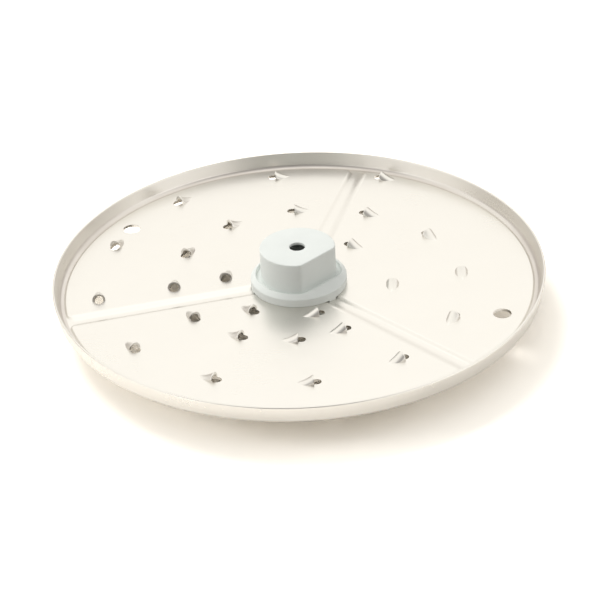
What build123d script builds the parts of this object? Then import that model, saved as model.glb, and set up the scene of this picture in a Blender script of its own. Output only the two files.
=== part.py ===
"""Grating disc for a food processor: a pressed steel plate with a moulded drive hub at its centre.

Millimetres, +Z up. The origin lies on the disc's axis, at the hub's bottom face.
"""
import os
from math import cos, pi, radians, sin, sqrt, tan

from build123d import *

# Steel sheet and its upturned rim
disc_diameter = 175.0
sheet = 1.0
rim_height = 5.9
rim_lean = 10.0
bend_radius = 0.8
outer_bend_bands = 2
inner_bend_bands = 1
lip_bands = 3
ledge_width = 1.2

# Pressing of the sheet: three raised panels, with channels, a ledge and a seat for the hub left between them
channel_count = 3
channel_width = 4.2
channel_angle = 72.9
panel_rise = 0.6
panel_slope = 45.0
panel_corner = 2.4
seat_width = 1.6

# Grating teeth, set on a spiral so that each one cuts its own track
outer_teeth = 20
outer_tooth_angle = 65.6
outer_tooth_step = 29.6
inner_teeth = 7
inner_tooth_angle = 294.4
inner_tooth_step = 58.5
ledge_to_tooth = 3.3
hub_to_tooth = 5.1
hood_half_width = 2.3
hood_length = 5.8
hood_sink = 0.2
hood_wall = 0.75
hood_tail = 1.3
hood_rings = 3
hood_sides = 6
tooth_hole_lead = 1.3

# Two plain holes near the rim
plain_hole_diameter = 6.3
plain_hole_angles = (144.0, 338.3)
ledge_to_plain_hole = 8.4

# Hub, moulded around the sheet's middle
plate_lift = 10.6
hub_height = 27.0
boss_radius = 13.4
flat_depth = 3.0
boss_corner = 0.8
groove_width = 1.7
flange_wall = 2.9
shoulder_width = 2.0
shoulder_rise = 1.95
groove_depth = 0.95
key_gap = 0.5
lower_flange_reach = 1.4
lower_flange_height = 3.0
stem_wall = 2.8
socket_wall = 2.5
socket_flat_wall = 2.1
socket_top = 2.6
pilot_step = 0.5
pilot_depth = 9.0
vent_diameter = 5.6
hub_edge = 0.4
mouth_chamfer = 0.6
moulding_gap = 0.02

# Levels and places that follow from the sizes above
ledge_top = plate_lift + sheet
rim_top = ledge_top + rim_height
panel_top = ledge_top + panel_rise
lean_cos = cos(radians(rim_lean))
lean_sin = sin(radians(rim_lean))
lip_radius = sheet / 2
lip_centre_radius = disc_diameter / 2 - lip_radius
lip_centre_height = rim_top - lip_radius
bend_outer = bend_radius + sheet
bend_middle = bend_radius + lip_radius
bend_height = ledge_top + bend_radius
wall_rise = lip_centre_height - (bend_height - bend_middle * lean_sin)
bend_centre_radius = lip_centre_radius - wall_rise * tan(radians(rim_lean)) - bend_middle * lean_cos
ledge_inner_radius = bend_centre_radius - ledge_width
boss_flat = boss_radius - flat_depth
flange_radius = boss_radius + groove_width + shoulder_width
pilot_radius = boss_radius - socket_wall + pilot_step
stem_radius = pilot_radius + stem_wall
lower_flange_radius = stem_radius + lower_flange_reach
seat_radius = boss_radius + seat_width
draw_in = sheet * tan(radians(panel_slope / 2))
tooth_count = outer_teeth + inner_teeth
first_tooth_radius = ledge_inner_radius - ledge_to_tooth
last_tooth_radius = flange_radius + hub_to_tooth
tooth_radial_step = (first_tooth_radius - last_tooth_radius) / (tooth_count - 1)
plain_hole_reach = ledge_inner_radius - ledge_to_plain_hole
channel_angles = [channel_angle + 360 / channel_count * number for number in range(channel_count)]
flat_angle = channel_angles[-1]


def turned(angle):
    """A turn about the disc's axis."""
    return Rot(0, 0, angle)


def level(height):
    """A move to a height above the hub's bottom face."""
    return Pos(0, 0, height)


def banded(arc, bands):
    """Points along an arc, so that a rounded edge becomes a few flat bands."""
    return [arc @ (number / bands) for number in range(bands + 1)]


def pan_profile():
    """Half section of the plain pan: flat sheet, bend, leaning rim wall and rounded lip."""
    bend_centre = (bend_centre_radius, bend_height)
    bend_turn = 90 - rim_lean
    outer_bend = CenterArc(bend_centre, bend_outer, -90, bend_turn)
    inner_bend = CenterArc(bend_centre, bend_radius, -rim_lean, -bend_turn)
    lip = CenterArc((lip_centre_radius, lip_centre_height), lip_radius, -rim_lean, 180)
    rounded = banded(outer_bend, outer_bend_bands) + banded(lip, lip_bands)
    rounded += banded(inner_bend, inner_bend_bands)
    return make_face(Polyline((0, plate_lift), *rounded, (0, ledge_top), close=True))


def panel_outlines(inset):
    """The three raised panels seen from above, drawn in by an inset on every side."""
    ring = Circle(ledge_inner_radius - inset) - Circle(seat_radius + inset)
    channel = Pos(disc_diameter / 4, 0) * Rectangle(disc_diameter / 2, channel_width + 2 * inset)
    panels = ring - [turned(angle) * channel for angle in channel_angles]
    return fillet(panels.vertices(), panel_corner - inset)


def pressed_pan():
    """The pan with its panels pressed up, so that the sheet keeps its thickness."""
    pan = revolve(Plane.XZ * pan_profile(), Axis.Z)
    pads = extrude(level(ledge_top) * panel_outlines(0), panel_rise, taper=panel_slope)
    hollows = extrude(level(plate_lift) * panel_outlines(-draw_in), panel_rise, taper=panel_slope)
    return pan + pads - hollows


def d_section(radius, flat, corner=0):
    """A round section with one flat, which faces along one of the channels."""
    off = Pos(flat + radius, 0) * Rectangle(2 * radius, 2 * radius)
    section = Circle(radius) - off
    if corner:
        section = fillet(section.vertices(), corner)
    return turned(flat_angle) * section


def half_ring(centre, radius):
    """Corners of an upper half ring around X, at a place along X."""
    angles = [pi * side / hood_sides for side in range(hood_sides + 1)]
    return [(centre, radius * cos(angle), radius * sin(angle)) for angle in angles]


def pointed_arch(length, half_width):
    """Corners of a hood along X: half rings that shrink from the mouth at the origin to a pointed tail."""
    arch_radius = (length**2 + half_width**2) / (2 * half_width)
    corners = [(-length, 0, 0)]
    for ring in range(hood_rings):
        back = length * ring / hood_rings
        corners += half_ring(-back, half_width - arch_radius + sqrt(arch_radius**2 - back**2))
    return corners


def tooth_hood():
    """The raised hood of one tooth, with flat sides, a pointed tail and its mouth facing along X."""
    return Pos(0, 0, -hood_sink) * ConvexPolyhedron(pointed_arch(hood_length, hood_half_width))


def tooth_hollow():
    """The space under one hood, open through the sheet below and round in front of the mouth."""
    half_width = hood_half_width - hood_wall
    corners = pointed_arch(hood_length - hood_tail, half_width)
    front = [(tooth_hole_lead + z, y, 0) for x, y, z in half_ring(0, half_width)]
    below = [(x, y, -2 * sheet) for x, y, z in corners + front]
    return Pos(0, 0, -hood_sink) * ConvexPolyhedron(corners + front + below)


def tooth_places():
    """Where each tooth's mouth sits, from the rim inward, facing anticlockwise along its track."""
    angles = [outer_tooth_angle + outer_tooth_step * number for number in range(outer_teeth)]
    angles += [inner_tooth_angle + inner_tooth_step * number for number in range(inner_teeth)]
    places = []
    for number, angle in enumerate(angles):
        track = first_tooth_radius - tooth_radial_step * number
        places.append(level(panel_top) * turned(angle) * Pos(track, 0) * turned(90))
    return places


def grating_plate():
    """The whole pressed plate: pan, panels, plain holes, teeth and the hub's keyed opening."""
    plate = pressed_pan()
    plain_hole = Pos(plain_hole_reach, 0, panel_top) * Cylinder(plain_hole_diameter / 2, 4 * sheet)
    plate -= [turned(angle) * plain_hole for angle in plain_hole_angles]
    places = tooth_places()
    plate += [place * tooth_hood() for place in places]
    plate -= [place * tooth_hollow() for place in places]
    keyed = d_section(boss_radius + moulding_gap, boss_flat + moulding_gap, boss_corner)
    return plate - extrude(keyed, hub_height)


def hub_profile():
    """Half section of the hub's round parts: stem and lower flange, then upper flange and groove."""
    lower = Polyline(
        (0, 0),
        (stem_radius, 0),
        (stem_radius, plate_lift - lower_flange_height),
        (lower_flange_radius, plate_lift - lower_flange_height),
        (lower_flange_radius, plate_lift),
        (0, plate_lift),
        close=True,
    )
    core_radius = seat_radius - moulding_gap
    shoulder_top = panel_top + flange_wall + shoulder_rise
    upper = Polyline(
        (0, ledge_top),
        (core_radius, ledge_top),
        (core_radius, panel_top),
        (flange_radius, panel_top),
        (flange_radius, panel_top + flange_wall),
        (flange_radius - shoulder_width, shoulder_top),
        (flange_radius - shoulder_width, shoulder_top - groove_depth),
        (0, shoulder_top - groove_depth),
        close=True,
    )
    return make_face(lower) + make_face(upper)


def channel_keys():
    """Blocks under the upper flange, which fill the channels there and stop the hub from turning."""
    width = channel_width - 2 * key_gap
    reach = sqrt(flange_radius**2 - (width / 2) ** 2)
    block = Box(reach, width, panel_rise)
    return [turned(angle) * Pos(reach / 2, 0, ledge_top + panel_rise / 2) * block for angle in channel_angles]


def drive_hub():
    """The moulded hub: round flanges that grip the sheet, a D-shaped boss and the drive socket."""
    body = revolve(Plane.XZ * hub_profile(), Axis.Z)
    body += channel_keys()
    boss_section = level(plate_lift) * d_section(boss_radius, boss_flat, boss_corner)
    boss = extrude(boss_section, hub_height - plate_lift)
    boss = chamfer(boss.faces().sort_by(Axis.Z)[-1].edges(), hub_edge)
    body += boss
    socket = d_section(boss_radius - socket_wall, boss_flat - socket_flat_wall)
    body -= extrude(socket, hub_height - socket_top)
    body -= level(pilot_depth / 2) * Cylinder(pilot_radius, pilot_depth)
    body -= level(hub_height) * Cylinder(vent_diameter / 2, 4 * socket_top)
    bottom_edges = body.faces().sort_by(Axis.Z)[0].edges().sort_by(SortBy.RADIUS)
    return chamfer(bottom_edges[0], mouth_chamfer)


os.makedirs("parts", exist_ok=True)
export_step(grating_plate(), "parts/grating_plate.step")
export_step(drive_hub(), "parts/drive_hub.step")
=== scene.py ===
"""Looks of a food processor grating disc: a pressed satin steel plate on a matt moulded hub.

Lengths are millimetres in the disc's own frame, +Z up with the origin under the hub. They become metres in
the meshes. The front is the camera's side, at -Y.
"""

import bmesh
import bpy
import numpy as np
from mathutils import Matrix, Vector
from mathutils.geometry import delaunay_2d_cdt


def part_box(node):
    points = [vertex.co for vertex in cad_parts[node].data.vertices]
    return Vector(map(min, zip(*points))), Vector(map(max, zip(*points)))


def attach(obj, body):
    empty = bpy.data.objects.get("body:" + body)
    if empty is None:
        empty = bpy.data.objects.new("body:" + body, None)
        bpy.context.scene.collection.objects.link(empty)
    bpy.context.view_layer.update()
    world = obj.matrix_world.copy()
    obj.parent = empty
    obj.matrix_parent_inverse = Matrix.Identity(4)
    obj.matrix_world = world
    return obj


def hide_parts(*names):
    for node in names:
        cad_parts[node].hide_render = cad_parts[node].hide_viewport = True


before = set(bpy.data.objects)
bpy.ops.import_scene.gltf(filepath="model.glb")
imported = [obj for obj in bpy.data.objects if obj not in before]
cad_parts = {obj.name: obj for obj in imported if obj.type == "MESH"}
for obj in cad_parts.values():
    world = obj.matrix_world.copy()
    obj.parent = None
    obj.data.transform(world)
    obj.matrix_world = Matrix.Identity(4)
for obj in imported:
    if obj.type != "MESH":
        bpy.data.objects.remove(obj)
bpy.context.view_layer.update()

per_metre = 1000

# Sheet, rim and pressed panels, each press with its foot and top measured inward from the panel's edge
sheet = 1.0
disc_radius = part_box("grating_plate")[1][0] * per_metre
rim_top = 17.5
rim_height = 5.9
rim_lean = np.radians(10)
bend_radius = 0.8
inner_bend_radius = 1.9
ledge_width = 1.2
channel_count = 3
channel_width = 4.2
channel_angle = 72.9
panel_rise = 0.6
panel_slope = np.radians(45)
panel_corner = 2.4
crisp_press = (-0.15, 0.75)
soft_press = (-1.9, 2.2)
near_softness = 0.45
held_flat = 0.1
opening_radius = 13.6

# Teeth
tooth_count = 27
outer_teeth = 20
outer_tooth_angle = 65.6
outer_tooth_step = 29.6
inner_tooth_angle = 294.4
inner_tooth_step = 58.5
ledge_to_tooth = 3.3
last_tooth_radius = 22.2
hood_half_width = 2.3
hood_height = 2.7
hood_roof = 0.85
hood_length = 5.8
hood_wall = 0.75
hood_tail = 1.3
mouth_fullness = 1.0
tail_fullness = 2.4
hood_fall = 1.6
lip_share = 0.07
lip_drop = 0.12
tooth_hole_lead = 1.1

# Plain holes
plain_hole_radius = 3.15
plain_hole_angles = (144.0, 338.3)
ledge_to_plain_hole = 8.4
hole_edge = 0.12
hole_edge_break = 0.3 * hole_edge

# Hub
hub_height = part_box("drive_hub")[1][2] * per_metre
boss_radius = 13.4
boss_flat_depth = 3.0
boss_corner = 0.35
groove_floor = 15.4
shoulder_inner_radius = 15.1
shoulder_top = 17.05
flange_radius = 17.1
flange_wall_top = 15.1
seat_radius = 15.0
seat_gap = 0.1
neck_gap = 0.2
key_half_width = 1.6
key_band = 0.25
lower_flange_radius = 15.6
lower_flange_bottom = 7.6
stem_radius = 14.2
socket_radius = 10.9
socket_flat_depth = 2.6
socket_ceiling = 24.4
pilot_radius = 11.4
pilot_depth = 9.0
mouth_chamfer = 0.6
vent_radius = 2.8
vent_edge = 1.0
vent_relief = 2.2

# Limits that keep the formula of the hub's flat in range
least_cosine = 0.3
joint_limit = 60

# Roundings of the hub's edges
vent_round = 0.25
boss_round = 0.4
groove_round = 0.3
crest_round = 0.35
flange_round = 0.5
flange_foot_round = 0.2
hidden_round = 0.1
lower_flange_round = 0.3
stem_round = 0.4
foot_round = 0.3
ceiling_round = 0.3
relief_round = 0.2
throat_round = 0.15

# Sizes that follow
ledge_top = rim_top - rim_height
panel_top = ledge_top + panel_rise
lip_radius = sheet / 2
lip_centre = np.array([disc_radius - lip_radius, rim_top - lip_radius])
bend_height = ledge_top + bend_radius
bend_middle = bend_radius + lip_radius
wall_rise = lip_centre[1] - bend_height + bend_middle * np.sin(rim_lean)
bend_centre_radius = lip_centre[0] - wall_rise * np.tan(rim_lean) - bend_middle * np.cos(rim_lean)
inner_bend_draw = (inner_bend_radius - bend_radius) * (1 - np.sin(rim_lean)) / np.cos(rim_lean)
inner_bend_centre = np.array([bend_centre_radius - inner_bend_draw, ledge_top + inner_bend_radius])
ledge_inner_radius = bend_centre_radius - ledge_width
first_tooth_radius = ledge_inner_radius - ledge_to_tooth
draw_in = sheet * np.tan(panel_slope / 2)
sector = 360 / channel_count

# Fineness of the surfaces, counted in points
rim_columns = 288
opening_columns = 72
panel_outer_points = 108
panel_inner_points = 27
hole_columns = 54
hub_columns = 540
arc_points = 9
half_round_points = 18
round_points = 6
step_rows = 13
hood_rows = 13
lip_rows = 5
hood_columns = 17

# Distances below which points are one, and the turn from which an edge is sharp
merge_distance = 0.002
join_tolerance = 1e-7
sharp_edge = np.radians(38)

# Finish of the steel. A painted shade, a patchy darker band in the bend inside the rim: it starts at the
# ledge's inner edge, ends inside the wall and fades with height above the ledge.
steel_tints = [(0.3, (0.795, 0.775, 0.735)), (0.7, (0.815, 0.795, 0.755))]
polish_scale = 38.0
polish_span = (0.3, 0.7)
steel_roughness = (0.24, 0.31)
rolling_scale = (60.0, 2600.0, 900.0)
rolling_roughness = 0.05
wave_scale = 95.0
wave_strength = 0.5
wave_height = 0.15
bend_shade_tint = (0.63, 0.592, 0.555, 1)
bend_shade_start = (-0.1, 0.2)
bend_shade_end = (2.45, 2.7)
bend_shade_fade = (0.4, 1.8)
bend_shade_cloud_span = (0.35, 0.65)
bend_shade_shares = (0.6, 1.0)

# Finish of the hub
plastic_tints = [(0.3, (0.755, 0.79, 0.765)), (0.7, (0.79, 0.825, 0.80))]
clouding_scale = 120.0
grain_scale = 2600.0
grain_span = (0.3, 0.7)
grain_strength = 0.12
grain_height = 0.08
plastic_roughness = (0.42, 0.56)

# Floor, in metres. It is pale round the hub's foot, a painted shadow under the plate, and looks bright
# further out.
floor_half = 6.0
floor_pale = (0.98, 0.95, 0.90, 1)
floor_bright = (1.58, 1.535, 1.45, 1)
painted_shadow_span = (0.045, 0.075)
floor_mirror_share = 0.42

# Room that the steel mirrors, from its front at 0 to its back at 1: low down by bearing, higher up by depth
low_room = [
    (0.0, (0.11, 0.10, 0.09)),
    (0.11, (0.14, 0.13, 0.12)),
    (0.19, (0.96, 0.93, 0.89)),
    (0.31, (1.03, 1.01, 0.99)),
    (0.41, (0.92, 0.90, 0.87)),
    (0.55, (0.46, 0.43, 0.40)),
    (0.67, (0.50, 0.47, 0.44)),
    (0.85, (0.36, 0.33, 0.305)),
    (0.95, (0.36, 0.33, 0.31)),
    (1.0, (0.37, 0.345, 0.325)),
]
high_room = [
    (0.0, (0.24, 0.23, 0.22)),
    (0.2, (0.29, 0.28, 0.27)),
    (0.29, (0.52, 0.51, 0.49)),
    (0.37, (0.75, 0.735, 0.70)),
    (0.675, (0.795, 0.78, 0.74)),
    (0.93, (0.785, 0.765, 0.725)),
]
glow_depths = [(0.7, (0, 0, 0)), (0.815, (1, 1, 1)), (0.915, (0, 0, 0))]
glow_aside = (0.1, 0.27)
glow_tint = (1.0, 1.0, 0.98, 1)
back_span = (0.84, 0.93)
low_room_feet = (0.22, 0.0)
low_room_tops = (0.5, 0.26)
room_strength = 1.56

# Soft fill on the rest: weak from the sides, from front to back, and stronger from above
side_fill = [(0.0, (0.22, 0.215, 0.21)), (1.0, (0.24, 0.235, 0.23))]
top_fill = (0.68, 0.67, 0.655, 1)
top_span = (0.1, 0.65)

# Lamps, each with its place and size in metres and its power in watts
lamp_colour = (1.0, 0.985, 0.965)
lamps = {
    "key_lamp": ((-0.56, 0.84, 1.22), 0.8, 12.3),
    "left_lamp": ((-1.3, -0.1, 0.5), 0.5, 5.6),
    "right_lamp": ((1.3, 0.2, 0.45), 0.5, 3.0),
}

# Camera, with its distance measured from the middle of the rim's top
camera_distance = 922.8
camera_elevation = np.radians(31.065)
camera_roll = np.radians(-3.0)
camera_aim = np.array([0, -5.6, 8.2])
sensor_width = 36.0
focal_length = 155.9


def turned(points, angle):
    """Plan points turned about the disc's axis: x cos a - y sin a, x sin a + y cos a."""
    cosine, sine = np.cos(np.radians(angle)), np.sin(np.radians(angle))
    return points @ np.array([[cosine, sine], [-sine, cosine]])


def directions(start, end, count):
    """Unit plan vectors at evenly spaced angles from start to end."""
    angle = np.radians(np.linspace(start, end, count))
    return np.stack([np.cos(angle), np.sin(angle)], axis=-1)


def all_round(count):
    """Unit plan vectors at evenly spaced angles once round."""
    return directions(0, 360, count + 1)[:-1]


def raised(plan, height):
    """Plan points given a height, one for all or one each."""
    level = np.broadcast_to(np.asarray(height, dtype=float), plan.shape[:-1])
    return np.concatenate([plan, level[..., None]], axis=-1)


def grid(points, closed=False):
    """A patch from rows and columns of points: quads between neighbours, closed where the columns meet."""
    rows, columns = points.shape[:2]
    index = np.arange(rows * columns).reshape(rows, columns)
    if closed:
        index = np.concatenate([index, index[:, :1]], axis=1)
    corners = [index[:-1, :-1], index[:-1, 1:], index[1:, 1:], index[1:, :-1]]
    return points.reshape(-1, 3), np.stack(corners, axis=-1).reshape(-1, 4)


def inside(points, loop):
    """Which plan points lie in a loop: a line from each to the right crosses it an odd number of times."""
    ahead = np.roll(loop, -1, axis=0)
    x, y = points[:, :1], points[:, 1:]
    spans = (loop[:, 1] > y) != (ahead[:, 1] > y)
    rise = np.where(ahead[:, 1] == loop[:, 1], 1.0, ahead[:, 1] - loop[:, 1])
    crossing = loop[:, 0] + (y - loop[:, 1]) * (ahead[:, 0] - loop[:, 0]) / rise
    return (spans & (x < crossing)).sum(axis=1) % 2 == 1


def flat(outline, openings, height):
    """A level patch: the triangles between an outline and its openings, joined by their own points only."""
    loops = [outline] + openings
    points = np.concatenate(loops)
    starts = np.cumsum([0] + [len(loop) for loop in loops[:-1]])
    around = [np.arange(len(loop)) for loop in loops]
    edges = [np.stack([a + s, np.roll(a, -1) + s], axis=1) for a, s in zip(around, starts)]
    vectors = list(map(Vector, points.tolist()))
    found = delaunay_2d_cdt(vectors, np.concatenate(edges).tolist(), [], 0, join_tolerance)
    triangles = np.array(found[2])
    middles = points[triangles].mean(axis=1)
    kept = inside(middles, outline)
    for opening in openings:
        kept &= ~inside(middles, opening)
    return raised(points, height), triangles[kept]


def outset(loop, distance):
    """A loop moved outward: each point goes square to the line through its neighbours."""
    along = np.roll(loop, -1, axis=0) - np.roll(loop, 1, axis=0)
    across = np.stack([along[:, 1], -along[:, 0]], axis=1)
    return loop + distance * across / np.linalg.norm(across, axis=1, keepdims=True)


def build_piece(name, patches):
    """One closed mesh from patches: seams merged, faces turned outward, shading broken at sharp edges."""
    points = np.concatenate([own for own, faces in patches]) / per_metre
    starts = np.cumsum([0] + [len(own) for own, faces in patches[:-1]])
    shifted = [(faces + start).tolist() for (own, faces), start in zip(patches, starts)]
    mesh = bpy.data.meshes.new(name)
    mesh.from_pydata(points.tolist(), [], [face for part in shifted for face in part])
    work = bmesh.new()
    work.from_mesh(mesh)
    bmesh.ops.remove_doubles(work, verts=work.verts, dist=merge_distance / per_metre)
    bmesh.ops.recalc_face_normals(work, faces=work.faces)
    work.to_mesh(mesh)
    work.free()
    mesh.shade_smooth()
    mesh.set_sharp_from_angle(angle=sharp_edge)
    piece = bpy.data.objects.new(name, mesh)
    bpy.context.scene.collection.objects.link(piece)
    return piece


def rim_profile():
    """Half section of the rim from the ledge outward: inner bend, wall, round lip, wall and outer bend."""
    lean = np.degrees(rim_lean)
    bend_centre = np.array([bend_centre_radius, bend_height])
    inner_bend = inner_bend_centre + inner_bend_radius * directions(-90, -lean, arc_points)
    lip = lip_centre + lip_radius * directions(180 - lean, -lean, half_round_points)
    outer_bend = bend_centre + (bend_radius + sheet) * directions(-lean, -90, arc_points)
    return np.concatenate([inner_bend, lip, outer_bend])


def rim_patch():
    """The rim profile carried once round the axis."""
    profile = rim_profile()
    plan = profile[:, None, :1] * all_round(rim_columns)[None]
    return grid(raised(plan, profile[:, 1:]), closed=True)


def panel_edge():
    """Foot of the panel after the first channel, with directions into it and the softness of its press.

    Long arcs run beside the rim and the hub, and corner arcs lead to the channels. The press is crisp on
    the long arcs. Along the corner arcs it softens with the cube of the way, fully to the far channel and
    partly to the near one.
    """
    aside = channel_width / 2 + panel_corner
    outer_reach = ledge_inner_radius - panel_corner
    inner_reach = seat_radius + panel_corner
    outer_turn = np.degrees(np.arcsin(aside / outer_reach))
    inner_turn = np.degrees(np.arcsin(aside / inner_reach))
    outer_arc = directions(outer_turn, sector - outer_turn, panel_outer_points)[1:]
    inner_arc = directions(sector - inner_turn, inner_turn, panel_inner_points)[1:]
    corners = [
        (outer_reach, sector - outer_turn, sector - outer_turn, sector + 90, 1),
        (inner_reach, sector - inner_turn, sector + 90, sector - inner_turn + 180, 0),
        (inner_reach, inner_turn, inner_turn + 180, 270, 1),
        (outer_reach, outer_turn, 270, 360 + outer_turn, 0),
    ]
    rounded = []
    for reach, bearing, start, end, skipped in corners:
        swing = directions(start, end, arc_points)[skipped:]
        rounded.append((reach * directions(bearing, bearing, 1) + panel_corner * swing, -swing))
    grow = np.linspace(0, 1, arc_points) ** 3
    stretches = [
        (ledge_inner_radius * outer_arc, -outer_arc, np.zeros(len(outer_arc))),
        (*rounded[0], grow[1:]),
        (*rounded[1], grow[::-1]),
        (seat_radius * inner_arc, inner_arc, np.zeros(len(inner_arc))),
        (*rounded[2], near_softness * grow[1:]),
        (*rounded[3], near_softness * grow[::-1]),
    ]
    return [np.concatenate(part) for part in zip(*stretches)]


def pressed_steps(softness):
    """Insets and rises of the step round a panel: half a cosine wave between two short level runs.

    At each point of the edge the wave's two ends lie between those of a crisp press and a soft one.
    """
    share = np.linspace(0, 1, step_rows)[:, None]
    starts, ends = [crisp + (soft - crisp) * softness for crisp, soft in zip(crisp_press, soft_press)]
    inset = starts + (ends - starts) * share
    rise = panel_rise * (1 - np.cos(np.pi * share)) / 2
    inset = np.concatenate([inset[:1] - held_flat, inset, inset[-1:] + held_flat])
    rise = np.concatenate([rise[:1], rise, rise[-1:]])
    return inset, rise


def tooth_places():
    """Bearing and radius of each tooth on its spiral, from the rim inward: both go by even steps."""
    number = np.arange(tooth_count)
    outer = outer_tooth_angle + outer_tooth_step * number
    inner = inner_tooth_angle + inner_tooth_step * (number - outer_teeth)
    radius = first_tooth_radius + (last_tooth_radius - first_tooth_radius) * number / (tooth_count - 1)
    return np.where(number < outer_teeth, outer, inner), radius


def hood(length, half_width, height):
    """A hood along X: arches, round at the mouth, that sink, narrow and flare down to the pointed tail.

    Each arch is a power of a sine over a cosine. Its width follows a circular arc, and its height a power
    of the distance to the tail. The lip at the mouth rolls down by the square of the distance from where
    its roll starts.
    """
    lip = np.linspace(0, lip_share, lip_rows)[:-1]
    share = np.concatenate([lip, np.linspace(lip_share, 1, hood_rows)])[:, None]
    swing = np.linspace(0, np.pi, hood_columns)[None]
    arc_radius = (length**2 + half_width**2) / (2 * half_width)
    shrink = (np.sqrt(arc_radius**2 - (length * share) ** 2) - arc_radius + half_width) / half_width
    back = -length * share + 0 * swing
    aside = half_width * shrink * np.cos(swing)
    flare = mouth_fullness + (tail_fullness - mouth_fullness) * share
    rolled = 1 - lip_drop * np.maximum(1 - share / lip_share, 0) ** 2
    rise = height * rolled * (1 - share) ** hood_fall * np.sin(swing) ** flare
    return np.stack([back, aside, rise], axis=-1)


def tooth_shapes():
    """One tooth facing along X: its outer and inner hoods, and the plan loops of its foot and opening.

    Each loop follows the foot of a hood and closes round a half circle in front of the mouth.
    """
    outer = hood(hood_length, hood_half_width, hood_height)
    inner_width = hood_half_width - hood_wall
    inner = hood(hood_length - hood_tail, inner_width, hood_height - hood_roof)
    front = inner_width * directions(-90, 90, half_round_points) + [tooth_hole_lead, 0]
    foot = np.concatenate([outer[:0:-1, -1, :2], outer[:1, -1, :2], inner[:1, -1, :2], front,
                           inner[:1, 0, :2], outer[:-1, 0, :2]])
    opening = np.concatenate([inner[:0:-1, -1, :2], inner[:1, -1, :2], front, inner[:-1, 0, :2]])
    return outer, inner, foot, opening


def placed(points, bearing, radius):
    """Tooth points set on the plate: X turns to face round the disc, Y towards the axis."""
    plan = np.stack([radius - points[..., 1], points[..., 0]], axis=-1)
    return turned(plan, bearing)


def tooth_patches(bearing, radius):
    """Surfaces of one tooth: held foot, hood, edge of the mouth, hollow and wall through the sheet."""
    outer, inner, foot, opening = tooth_shapes()
    foot_rows = np.stack([outset(foot, held_flat), foot])
    wall_rows = np.stack([opening, opening])
    wall_heights = panel_top - np.array([[0.0], [sheet]])
    mouth = np.stack([outer[0], inner[0]])
    return [
        grid(raised(placed(foot_rows, bearing, radius), panel_top), closed=True),
        grid(raised(placed(outer, bearing, radius), panel_top + outer[..., 2])),
        grid(raised(placed(mouth, bearing, radius), panel_top + mouth[..., 2])),
        grid(raised(placed(inner, bearing, radius), panel_top + inner[..., 2])),
        grid(raised(placed(wall_rows, bearing, radius), wall_heights), closed=True),
    ]


def plain_hole_patch(bearing):
    """A plain hole: a short profile with softened edges carried round the hole's own axis."""
    radius = plain_hole_radius + np.array([held_flat + hole_edge, hole_edge, hole_edge_break, 0, 0])
    height = panel_top - np.array([0, 0, hole_edge_break, hole_edge, sheet])
    reach = ledge_inner_radius - ledge_to_plain_hole
    plan = turned(radius[:, None, None] * all_round(hole_columns)[None] + [reach, 0], bearing)
    return grid(raised(plan, height[:, None]), closed=True), plan[0], plan[-1]


def plate_patches():
    """Every surface of the plate: rim, ledge, channels, steps, panels, teeth, plain holes and opening.

    The upper and the lower face of each panel come from the same edge, one sheet thickness apart.
    """
    edge, inward, softness = panel_edge()
    inset, rise = pressed_steps(softness)
    opening = opening_radius * all_round(opening_columns)
    bearings, radii = tooth_places()
    foot, tooth_opening = tooth_shapes()[2:]
    held_foot = outset(foot, held_flat)
    opening_heights = [[ledge_top], [ledge_top - sheet]]
    patches = [rim_patch(), grid(raised(np.stack([opening, opening]), opening_heights), closed=True)]
    upper_loops = []
    lower_loops = []
    for number in range(channel_count):
        angle = channel_angle + sector * number
        own = (bearings - angle) % 360 < sector
        teeth = list(zip(bearings[own], radii[own]))
        upper_holes = [placed(held_foot, *tooth) for tooth in teeth]
        lower_holes = [placed(tooth_opening, *tooth) for tooth in teeth]
        for tooth in teeth:
            patches += tooth_patches(*tooth)
        for bearing in plain_hole_angles:
            if (bearing - angle) % 360 < sector:
                patch, top_loop, bottom_loop = plain_hole_patch(bearing)
                patches.append(patch)
                upper_holes.append(top_loop)
                lower_holes.append(bottom_loop)
        upper_face = (0, 0, upper_loops, upper_holes)
        lower_face = (-sheet, -draw_in, lower_loops, lower_holes)
        for lift, shift, loops, holes in (upper_face, lower_face):
            rows = turned(edge[None] + (inset + shift)[..., None] * inward[None], angle)
            patches.append(grid(raised(rows, ledge_top + lift + rise), closed=True))
            patches.append(flat(rows[-1], holes, panel_top + lift))
            loops.append(rows[0])
    around = all_round(rim_columns)
    patches.append(flat(inner_bend_centre[0] * around, upper_loops + [opening], ledge_top))
    patches.append(flat(bend_centre_radius * around, lower_loops + [opening], ledge_top - sheet))
    return patches


def d_reach(radius, flat_depth, bearing):
    """Reach of a round with one flat: the lesser of the radius and the flat's distance over a cosine.

    The two are softly joined, by the logarithm of one plus the exponential of the gap between them.
    """
    away = np.cos(bearing - np.radians(channel_angle + sector * (channel_count - 1)))
    flat_reach = (radius - flat_depth) / np.maximum(away, least_cosine)
    gap = (flat_reach - radius) / boss_corner
    joined = radius - boss_corner * np.log1p(np.exp(-np.clip(gap, -joint_limit, joint_limit)))
    return np.where(flat_depth > 0, joined, radius)


def rounded_corner(before, corner, after, radius):
    """Points of an arc in a corner of a section, by even turns from one side to the other.

    The arc touches both sides at its radius over the tangent of half the corner's angle.
    """
    back = (before - corner) / np.linalg.norm(before - corner)
    ahead = (after - corner) / np.linalg.norm(after - corner)
    half = np.arccos(np.clip(back @ ahead, -1, 1)) / 2
    middle = (back + ahead) / np.linalg.norm(back + ahead)
    centre = corner + middle * radius / np.sin(half)
    start = corner + back * radius / np.tan(half) - centre
    end = corner + ahead * radius / np.tan(half) - centre
    share = np.linspace(0, 1, round_points)[:, None]
    sweep = np.pi - 2 * half
    return centre + (np.sin((1 - share) * sweep) * start + np.sin(share * sweep) * end) / np.sin(sweep)


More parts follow.
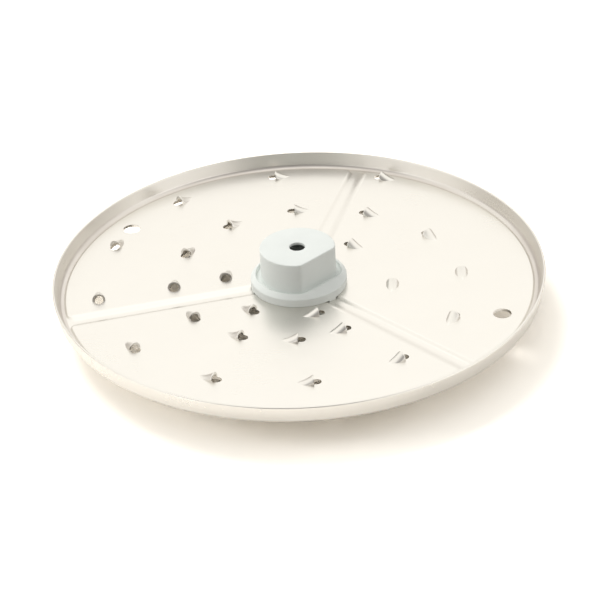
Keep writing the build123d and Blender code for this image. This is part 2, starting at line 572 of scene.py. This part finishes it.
def hub_section():
    """Half section of the hub from the vent out, down and back up the socket, with each corner rounded.

    Each corner is a radius, a height, how deep the flat of its outline is, and its rounding.
    """
    neck = opening_radius - neck_gap
    seat = seat_radius - seat_gap
    plate_bottom = ledge_top - sheet
    corners = [
        (vent_radius, hub_height, 0, vent_round),
        (boss_radius, hub_height, boss_flat_depth, boss_round),
        (boss_radius, groove_floor, boss_flat_depth, groove_round),
        (shoulder_inner_radius, groove_floor, boss_flat_depth, groove_round),
        (shoulder_inner_radius, shoulder_top, boss_flat_depth, crest_round),
        (flange_radius, flange_wall_top, 0, flange_round),
        (flange_radius, panel_top, 0, flange_foot_round),
        (seat, panel_top, 0, hidden_round),
        (seat, ledge_top, 0, hidden_round),
        (neck, ledge_top, 0, hidden_round),
        (neck, plate_bottom, 0, hidden_round),
        (lower_flange_radius, plate_bottom, 0, lower_flange_round),
        (lower_flange_radius, lower_flange_bottom, 0, lower_flange_round),
        (stem_radius, lower_flange_bottom, 0, stem_round),
        (stem_radius, 0, 0, foot_round),
        (pilot_radius + mouth_chamfer, 0, 0, hidden_round),
        (pilot_radius, mouth_chamfer, 0, hidden_round),
        (pilot_radius, pilot_depth, 0, hidden_round),
        (socket_radius, pilot_depth, socket_flat_depth, hidden_round),
        (socket_radius, socket_ceiling, socket_flat_depth, ceiling_round),
        (vent_radius + vent_relief, socket_ceiling, 0, relief_round),
        (vent_radius, hub_height - vent_edge, 0, throat_round),
    ]
    places = np.array([corner[:2] for corner in corners])
    rows = []
    for number, (radius, height, flat_depth, rounding) in enumerate(corners):
        before, after = places[number - 1], places[(number + 1) % len(places)]
        arc = rounded_corner(before, places[number], after, rounding)
        rows.append(np.column_stack([arc, np.full(len(arc), float(flat_depth))]))
    return np.concatenate(rows)


def hub_patch():
    """The hub's section carried round the axis: D-shaped at boss and socket, keyed into the channels."""
    section = hub_section()
    bearing = np.linspace(0, 2 * np.pi, hub_columns, endpoint=False)
    reach = d_reach(section[:, :1], section[:, 2:], bearing[None])
    plan = reach[..., None] * np.stack([np.cos(bearing), np.sin(bearing)], axis=-1)[None]
    aside = np.abs((np.degrees(bearing) - channel_angle + sector / 2) % sector - sector / 2)
    keyed = aside < np.degrees(np.arcsin(key_half_width / flange_radius))
    under = (np.abs(section[:, 1] - panel_top) < key_band) & (section[:, 0] > seat_radius)
    height = section[:, 1:2] - panel_rise * (under[:, None] & keyed[None])
    points = raised(plan, height)
    return grid(np.concatenate([points, points[:1]]), closed=True)


def node_chain(owner):
    """The node tree of a material or world, emptied, with a helper that adds a node and sets its inputs."""
    owner.use_nodes = True
    tree = owner.node_tree
    tree.nodes.clear()

    def add(kind, settings=None, **inputs):
        """A new node: inputs go by name, or by number after an underscore."""
        node = tree.nodes.new(kind)
        for name, value in (settings or {}).items():
            setattr(node, name, value)
        for name, value in inputs.items():
            socket = node.inputs[int(name[1:]) if name[1:].isdigit() else name.replace("_", " ")]
            if isinstance(value, bpy.types.NodeSocket):
                tree.links.new(value, socket)
            else:
                socket.default_value = value
        return node

    return tree, add


def span_share(add, value, span, shares=(0.0, 1.0), kind="LINEAR"):
    """Where a value lies along a span, as a share that runs between the two given ones."""
    node = add("ShaderNodeMapRange", {"interpolation_type": kind}, Value=value, From_Min=span[0],
               From_Max=span[1], To_Min=shares[0], To_Max=shares[1])
    return node.outputs["Result"]


def worked(add, operation, *values):
    """The result of one operation on values or sockets."""
    inputs = {f"_{number}": value for number, value in enumerate(values)}
    return add("ShaderNodeMath", {"operation": operation}, **inputs).outputs[0]


def blended(add, share, first, second):
    """A colour between two others by a share."""
    return add("ShaderNodeMix", {"data_type": "RGBA"}, _0=share, _6=first, _7=second).outputs[2]


def noise(add, place, scale, detail, roughness):
    """Soft noise over a place."""
    node = add("ShaderNodeTexNoise", Vector=place, Scale=scale, Detail=detail, Roughness=roughness)
    return node.outputs["Fac"]


def ramp(add, share, stops):
    """A colour ramp over a share, through the given positions and colours."""
    node = add("ShaderNodeValToRGB", Fac=share)
    elements = node.color_ramp.elements
    while len(elements) < len(stops):
        elements.new(0.5)
    for element, (position, colour) in zip(elements, stops):
        element.position = position
        element.color = (*colour, 1)
    return node.outputs["Color"]


def in_metres(start, span):
    """A span in millimetres from a start, in metres."""
    return [(start + end) / per_metre for end in span]


def painted_bend_shade(add, place, clouds):
    """How much painted shade lies on the steel: a patchy darker band in the bend inside the rim."""
    level = add("ShaderNodeSeparateXYZ", Vector=place).outputs["Z"]
    plan = add("ShaderNodeVectorMath", {"operation": "MULTIPLY"}, _0=place, _1=(1.0, 1.0, 0.0)).outputs[0]
    reach = add("ShaderNodeVectorMath", {"operation": "LENGTH"}, _0=plan).outputs["Value"]
    begun = span_share(add, reach, in_metres(ledge_inner_radius, bend_shade_start))
    within = span_share(add, reach, in_metres(ledge_inner_radius, bend_shade_end), (1.0, 0.0))
    low = span_share(add, level, in_metres(ledge_top, bend_shade_fade), (1.0, 0.0))
    patchy = span_share(add, clouds, bend_shade_cloud_span, bend_shade_shares)
    band = worked(add, "MULTIPLY", worked(add, "MULTIPLY", begun, within), low)
    return worked(add, "MULTIPLY", band, patchy)


def satin_steel():
    """Rolled stainless sheet: warm pale metal with a cloudy polish and a slight waviness.

    Rolling lines show in its gloss, and a patchy darker band is painted in the bend inside the rim as
    shade.
    """
    material = bpy.data.materials.new("satin_steel")
    tree, add = node_chain(material)
    place = add("ShaderNodeTexCoord").outputs["Object"]
    stretched = add("ShaderNodeMapping", Vector=place, Scale=rolling_scale).outputs["Vector"]
    lines = noise(add, stretched, scale=1.0, detail=1.0, roughness=0.5)
    clouds = noise(add, place, scale=polish_scale, detail=4.0, roughness=0.55)
    waves = noise(add, place, scale=wave_scale, detail=1.0, roughness=0.4)
    # Painted shade: a patchy darker band in the bend inside the rim.
    tint = blended(add, painted_bend_shade(add, place, clouds), ramp(add, clouds, steel_tints), bend_shade_tint)
    polish = span_share(add, clouds, polish_span, steel_roughness)
    gloss = worked(add, "MULTIPLY_ADD", lines, rolling_roughness, polish)
    relief = add("ShaderNodeBump", Strength=wave_strength, Distance=wave_height / per_metre, Height=waves)
    shader = add("ShaderNodeBsdfPrincipled", Base_Color=tint, Metallic=1.0, Roughness=gloss,
                 Normal=relief.outputs["Normal"])
    output = add("ShaderNodeOutputMaterial")
    tree.links.new(shader.outputs["BSDF"], output.inputs["Surface"])
    return material


def matt_plastic():
    """Light grey moulding: fine spark-eroded grain, slight clouding and a soft low gloss."""
    material = bpy.data.materials.new("matt_plastic")
    tree, add = node_chain(material)
    place = add("ShaderNodeTexCoord").outputs["Object"]
    grain = noise(add, place, scale=grain_scale, detail=2.0, roughness=0.6)
    clouds = noise(add, place, scale=clouding_scale, detail=3.0, roughness=0.5)
    tint = ramp(add, clouds, plastic_tints)
    gloss = span_share(add, grain, grain_span, plastic_roughness)
    relief = add("ShaderNodeBump", Strength=grain_strength, Distance=grain_height / per_metre, Height=grain)
    shader = add("ShaderNodeBsdfPrincipled", Base_Color=tint, Roughness=gloss,
                 Normal=relief.outputs["Normal"])
    output = add("ShaderNodeOutputMaterial")
    tree.links.new(shader.outputs["BSDF"], output.inputs["Surface"])
    return material


def floor_white():
    """Plain matt floor: pale in itself, and brighter to the camera and partly to the steel, to look white.

    Close round the hub's foot it stays pale to both, a painted shadow under the plate.
    """
    material = bpy.data.materials.new("floor_white")
    tree, add = node_chain(material)
    paths = add("ShaderNodeLightPath")
    place = add("ShaderNodeTexCoord").outputs["Object"]
    reach = add("ShaderNodeVectorMath", {"operation": "LENGTH"}, _0=place).outputs["Value"]
    # Painted shadow: the brightening fades out close round the hub's foot, so the floor stays pale under
    # the plate.
    clear = span_share(add, reach, painted_shadow_span)
    mirrored = worked(add, "MULTIPLY", paths.outputs["Is Glossy Ray"], floor_mirror_share)
    either = worked(add, "MAXIMUM", paths.outputs["Is Camera Ray"], mirrored)
    seen = worked(add, "MULTIPLY", either, clear)
    pale = add("ShaderNodeBsdfDiffuse", Color=floor_pale)
    bright = add("ShaderNodeBsdfDiffuse", Color=floor_bright)
    surface = add("ShaderNodeMixShader", _0=seen, _1=pale.outputs[0], _2=bright.outputs[0])
    output = add("ShaderNodeOutputMaterial")
    tree.links.new(surface.outputs[0], output.inputs["Surface"])
    return material


def studio_floor():
    """A wide level floor under the hub's foot."""
    mesh = bpy.data.meshes.new("studio_floor")
    corners = [(-floor_half, -floor_half, 0), (floor_half, -floor_half, 0),
               (floor_half, floor_half, 0), (-floor_half, floor_half, 0)]
    mesh.from_pydata(corners, [], [(0, 1, 2, 3)])
    mesh.materials.append(floor_white())
    floor = bpy.data.objects.new("studio_floor", mesh)
    bpy.context.scene.collection.objects.link(floor)


def mirrored_room(add, direction):
    """The room as the steel shows it: dark in front, bright low at the sides, and pale above with a glow.

    The low part gives way to the high part over a band of heights, which sits lower at the back.
    """
    aside = worked(add, "ABSOLUTE", direction.outputs["X"])
    depth = span_share(add, direction.outputs["Y"], (-1.0, 1.0))
    forward = worked(add, "MULTIPLY", direction.outputs["Y"], -1.0)
    bearing = span_share(add, worked(add, "ARCTAN2", aside, forward), (0.0, np.pi))
    centred = span_share(add, aside, glow_aside, (1.0, 0.0), "SMOOTHSTEP")
    glow = worked(add, "MULTIPLY", ramp(add, depth, glow_depths), centred)
    high = blended(add, glow, ramp(add, depth, high_room), glow_tint)
    band = [span_share(add, bearing, back_span, heights) for heights in (low_room_feet, low_room_tops)]
    height = span_share(add, direction.outputs["Z"], band, kind="SMOOTHSTEP")
    return blended(add, height, ramp(add, bearing, low_room), high)


def soft_fill(add, direction):
    """The light on matt surfaces: weak from the sides and stronger from above."""
    depth = span_share(add, direction.outputs["Y"], (-1.0, 1.0))
    above = span_share(add, direction.outputs["Z"], top_span, kind="SMOOTHSTEP")
    return blended(add, above, ramp(add, depth, side_fill), top_fill)


def studio_world():
    """The studio round the disc: white to the camera, a room to the steel, and a soft fill to the rest."""
    world = bpy.data.worlds.new("studio_world")
    bpy.context.scene.world = world
    tree, add = node_chain(world)
    towards = add("ShaderNodeTexCoord").outputs["Generated"]
    direction = add("ShaderNodeSeparateXYZ", Vector=towards)
    paths = add("ShaderNodeLightPath")
    soft = soft_fill(add, direction)
    room = mirrored_room(add, direction)
    fill = add("ShaderNodeBackground", Color=soft, Strength=1.0).outputs[0]
    shine = add("ShaderNodeBackground", Color=room, Strength=room_strength).outputs[0]
    white = add("ShaderNodeBackground", Color=(1, 1, 1, 1), Strength=1.0).outputs[0]
    light = add("ShaderNodeMixShader", _0=paths.outputs["Is Glossy Ray"], _1=fill, _2=shine).outputs[0]
    seen = add("ShaderNodeMixShader", _0=paths.outputs["Is Camera Ray"], _1=light, _2=white).outputs[0]
    output = add("ShaderNodeOutputWorld")
    tree.links.new(seen, output.inputs["Surface"])


def soft_lamp(name, place, size, watts):
    """A square soft lamp that faces the hub's foot. The steel mirrors the room instead of it."""
    lamp = bpy.data.lights.new(name, "AREA")
    lamp.shape = "SQUARE"
    lamp.size = size
    lamp.energy = watts
    lamp.color = lamp_colour
    holder = bpy.data.objects.new(name, lamp)
    holder.location = place
    holder.rotation_euler = (-Vector(place)).to_track_quat("-Z", "Y").to_euler()
    holder.visible_glossy = False
    bpy.context.scene.collection.objects.link(holder)


def photo_camera():
    """A long lens in front of the disc, raised and slightly rolled, aimed just in front of the hub."""
    lift = rim_top + camera_distance * np.sin(camera_elevation)
    place = np.array([0, -camera_distance * np.cos(camera_elevation), lift])
    forward = (camera_aim - place) / np.linalg.norm(camera_aim - place)
    right = np.cross(forward, [0, 0, 1])
    right /= np.linalg.norm(right)
    up = np.cross(right, forward)
    rolled_right = np.cos(camera_roll) * right + np.sin(camera_roll) * up
    rolled_up = np.cos(camera_roll) * up - np.sin(camera_roll) * right
    turn = np.stack([rolled_right, rolled_up, -forward], axis=1)
    lens = bpy.data.cameras.new("photo_camera")
    lens.sensor_width = sensor_width
    lens.lens = focal_length
    camera = bpy.data.objects.new("photo_camera", lens)
    camera.matrix_world = Matrix.Translation(place / per_metre) @ Matrix(turn.tolist()).to_4x4()
    bpy.context.scene.collection.objects.link(camera)
    bpy.context.scene.camera = camera


def dress_plate():
    """The finely pressed plate in place of the plain solid."""
    plate = build_piece("pressed_plate", plate_patches())
    plate.data.materials.append(satin_steel())
    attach(plate, "root")
    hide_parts("grating_plate")


def dress_hub():
    """The finely rounded hub in place of the plain solid."""
    hub = build_piece("moulded_hub", [hub_patch()])
    hub.data.materials.append(matt_plastic())
    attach(hub, "root")
    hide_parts("drive_hub")


dress_plate()
dress_hub()
studio_floor()
studio_world()
for lamp_name, (lamp_place, lamp_size, lamp_watts) in lamps.items():
    soft_lamp(lamp_name, lamp_place, lamp_size, lamp_watts)
photo_camera()
bpy.context.scene.view_settings.view_transform = "Standard"
